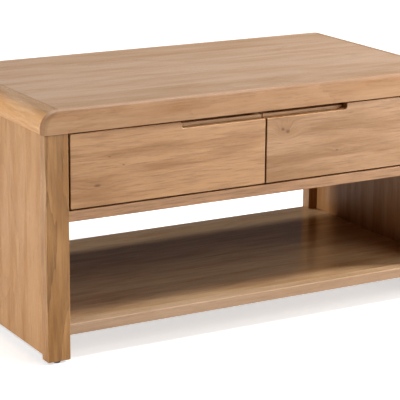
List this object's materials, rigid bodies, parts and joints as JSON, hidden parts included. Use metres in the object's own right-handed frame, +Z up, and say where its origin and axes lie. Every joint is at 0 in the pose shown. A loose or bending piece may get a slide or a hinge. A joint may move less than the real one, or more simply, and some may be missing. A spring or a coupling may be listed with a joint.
{
  "type": "coffee table with drawers",
  "caption": "Oak coffee table with a round-ended top, side-by-side drawers with finger notches that slide out on telescopic runners, and an open shelf below.",
  "frame": {"origin": "on the floor, under the middle of the table top", "axes": "+X along the table, the drawers open towards -Y, +Z up"},
  "size_m": [0.9, 0.49, 0.459],
  "materials": {
    "oak_veneer": "satin lacquered veneer",
    "oak_solid": "satin lacquered solid oak",
    "birch_plywood": "matt lacquer",
    "beech": "bare, turned or sawn",
    "zinc_plated_steel": "bright zinc plating",
    "screw_steel": "zinc plated",
    "black_nylon": "moulded, matt"
  },
  "bodies": {
    "case": {"back_panel": "oak_veneer", "bracket_screws": "screw_steel", "case_dowels": "beech", "case_slide_screws": "screw_steel", "centre_divider": "birch_plywood", "deck_back_rail": "oak_solid", "deck_front_rail": "oak_solid", "deck_panel": "oak_veneer", "foot_glides": "black_nylon", "left_slide_inner_case": "zinc_plated_steel", "left_slide_outer_case": "zinc_plated_steel", "right_slide_inner_case": "zinc_plated_steel", "right_slide_outer_case": "zinc_plated_steel", "shelf_back_lipping": "oak_solid", "shelf_front_lipping": "oak_solid", "shelf_panel": "oak_veneer", "side_panel_left": "oak_veneer", "side_panel_right": "oak_veneer", "slide_packer_left": "beech", "slide_packer_right": "beech", "stile_dowels": "beech", "stile_front_left": "oak_solid", "stile_front_right": "oak_solid", "stile_rear_left": "oak_solid", "stile_rear_right": "oak_solid", "top_brackets": "zinc_plated_steel", "top_dowels": "beech", "top_lipping_back": "oak_solid", "top_lipping_front": "oak_solid", "top_lipping_left": "oak_solid", "top_lipping_right": "oak_solid", "top_panel": "oak_veneer"},
    "left_drawer": {"left_drawer_back": "birch_plywood", "left_drawer_bottom": "birch_plywood", "left_drawer_front": "oak_veneer", "left_drawer_side_inner": "birch_plywood", "left_drawer_side_outer": "birch_plywood", "left_drawer_slide_screws": "screw_steel", "left_drawer_subfront": "oak_veneer", "left_front_screws": "screw_steel", "left_slide_inner_drawer": "zinc_plated_steel", "left_slide_outer_drawer": "zinc_plated_steel"},
    "right_drawer": {"right_drawer_back": "birch_plywood", "right_drawer_bottom": "birch_plywood", "right_drawer_front": "oak_veneer", "right_drawer_side_inner": "birch_plywood", "right_drawer_side_outer": "birch_plywood", "right_drawer_slide_screws": "screw_steel", "right_drawer_subfront": "oak_veneer", "right_front_screws": "screw_steel", "right_slide_inner_drawer": "zinc_plated_steel", "right_slide_outer_drawer": "zinc_plated_steel"},
    "left_mid_slides": {"left_slide_inner_middle": "zinc_plated_steel", "left_slide_outer_middle": "zinc_plated_steel"},
    "right_mid_slides": {"right_slide_inner_middle": "zinc_plated_steel", "right_slide_outer_middle": "zinc_plated_steel"}
  },
  "joints": [
    {"name": "left_drawer_slide", "type": "slide", "parent": "case", "child": "left_drawer", "axis": [0, -1, 0], "range_m": [0, 0.38]},
    {"name": "left_mid_slide", "type": "slide", "parent": "case", "child": "left_mid_slides", "axis": [0, -1, 0], "range_m": [0, 0.19]},
    {"name": "right_drawer_slide", "type": "slide", "parent": "case", "child": "right_drawer", "axis": [0, -1, 0], "range_m": [0, 0.38]},
    {"name": "right_mid_slide", "type": "slide", "parent": "case", "child": "right_mid_slides", "axis": [0, -1, 0], "range_m": [0, 0.19]}
  ],
  "couplings": [
    {"joint": "left_mid_slide", "follows": "left_drawer_slide", "ratio": 0.5},
    {"joint": "right_mid_slide", "follows": "right_drawer_slide", "ratio": 0.5}
  ]
}
